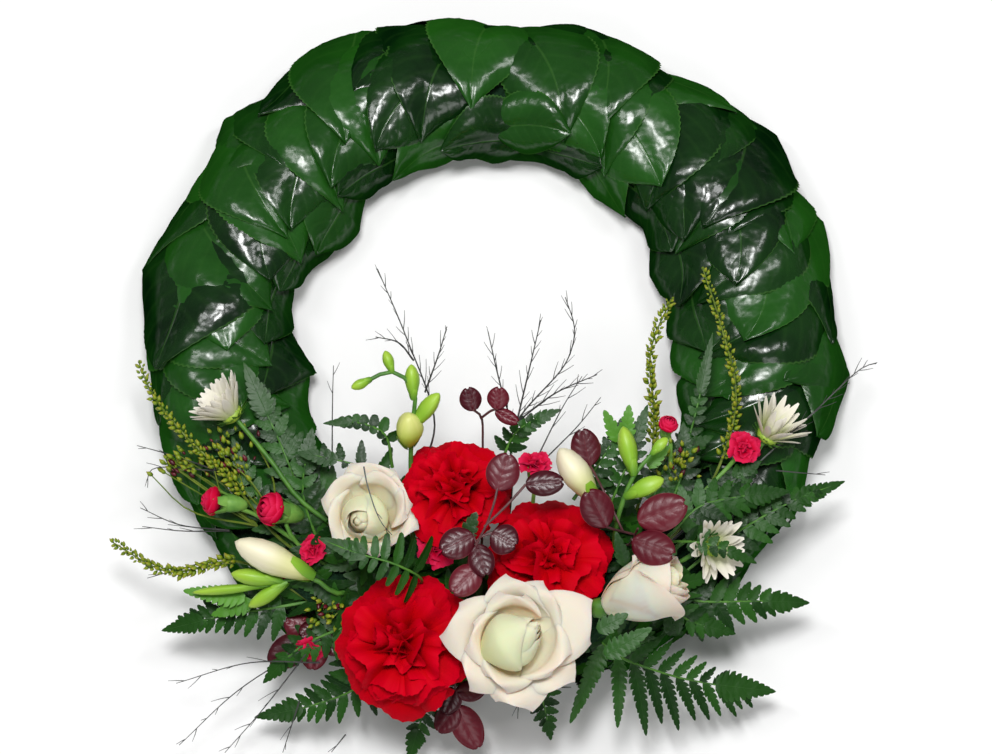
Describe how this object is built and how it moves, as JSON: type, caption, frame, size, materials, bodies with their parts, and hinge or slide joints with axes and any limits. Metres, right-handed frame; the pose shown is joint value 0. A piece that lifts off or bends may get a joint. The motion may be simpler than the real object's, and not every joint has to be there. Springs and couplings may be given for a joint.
{
  "type": "memorial wreath",
  "caption": "Leaf-covered foam ring in a plastic tray with a spray of carnations, roses, freesias and fern on its lower part; laid or stood as a tribute.",
  "frame": {"origin": "middle of the bounding box's underside, in the plane that the tray lies on", "axes": "+Z out of the wreath's face, +Y towards the crown of the ring, away from the flowers, +X to the right of someone who looks at the face"},
  "size_m": [0.4248, 0.4272, 0.1228],
  "materials": {
    "tray": "dark green moulded plastic, low sheen",
    "foam": "fine open foam, dull",
    "ring_leaf": "glossy leaf with a fine grain and pale veins",
    "red_petal": "soft velvety petals",
    "white_petal": "soft satin petals",
    "pink_petal": "soft velvety petals",
    "cream_bud": "satin buds, cream to yellow-green",
    "green_foliage": "satin fern leaf and green stems",
    "red_leaf": "glossy burgundy leaf",
    "bud_spike": "small dull buds",
    "twig": "thin dry twig"
  },
  "bodies": {
    "root": {"ring_tray": "tray", "foam_ring": "foam", "spray_foam": "foam", "crown_leaf": "ring_leaf", "leaf_fan_left_1": "ring_leaf", "leaf_fan_left_2": "ring_leaf", "leaf_fan_left_3": "ring_leaf", "leaf_fan_left_4": "ring_leaf", "leaf_fan_left_5": "ring_leaf", "leaf_fan_left_6": "ring_leaf", "leaf_fan_left_7": "ring_leaf", "leaf_fan_left_8": "ring_leaf", "leaf_fan_left_9": "ring_leaf", "leaf_fan_right_1": "ring_leaf", "leaf_fan_right_2": "ring_leaf", "leaf_fan_right_3": "ring_leaf", "leaf_fan_right_4": "ring_leaf", "leaf_fan_right_5": "ring_leaf", "leaf_fan_right_6": "ring_leaf", "leaf_fan_right_7": "ring_leaf", "leaf_fan_right_8": "ring_leaf", "leaf_fan_right_9": "ring_leaf", "leaf_fan_right_10": "ring_leaf", "carnation_1": "red_petal", "carnation_2": "red_petal", "carnation_3": "red_petal", "rose_1": "white_petal", "rose_2": "white_petal", "rose_3": "white_petal", "daisy_1": "white_petal", "daisy_2": "white_petal", "daisy_3": "white_petal", "spray_carnation_left": "pink_petal", "spray_carnation_center": "pink_petal", "spray_carnation_right": "pink_petal", "freesia_1": "cream_bud", "freesia_2": "cream_bud", "freesia_3": "cream_bud", "fern_1": "green_foliage", "fern_2": "green_foliage", "fern_3": "green_foliage", "fern_4": "green_foliage", "fern_5": "green_foliage", "fern_6": "green_foliage", "fern_7": "green_foliage", "fern_8": "green_foliage", "fern_9": "green_foliage", "fern_10": "green_foliage", "red_leaf_sprig_1": "red_leaf", "red_leaf_sprig_2": "red_leaf", "red_leaf_sprig_3": "red_leaf", "red_leaf_sprig_4": "red_leaf", "red_leaf_sprig_5": "red_leaf", "bud_spike_1": "bud_spike", "bud_spike_2": "bud_spike", "bud_spike_3": "bud_spike", "bud_spike_4": "bud_spike", "twig_spray_1": "twig", "twig_spray_2": "twig", "twig_spray_3": "twig"}
  },
  "joints": []
}
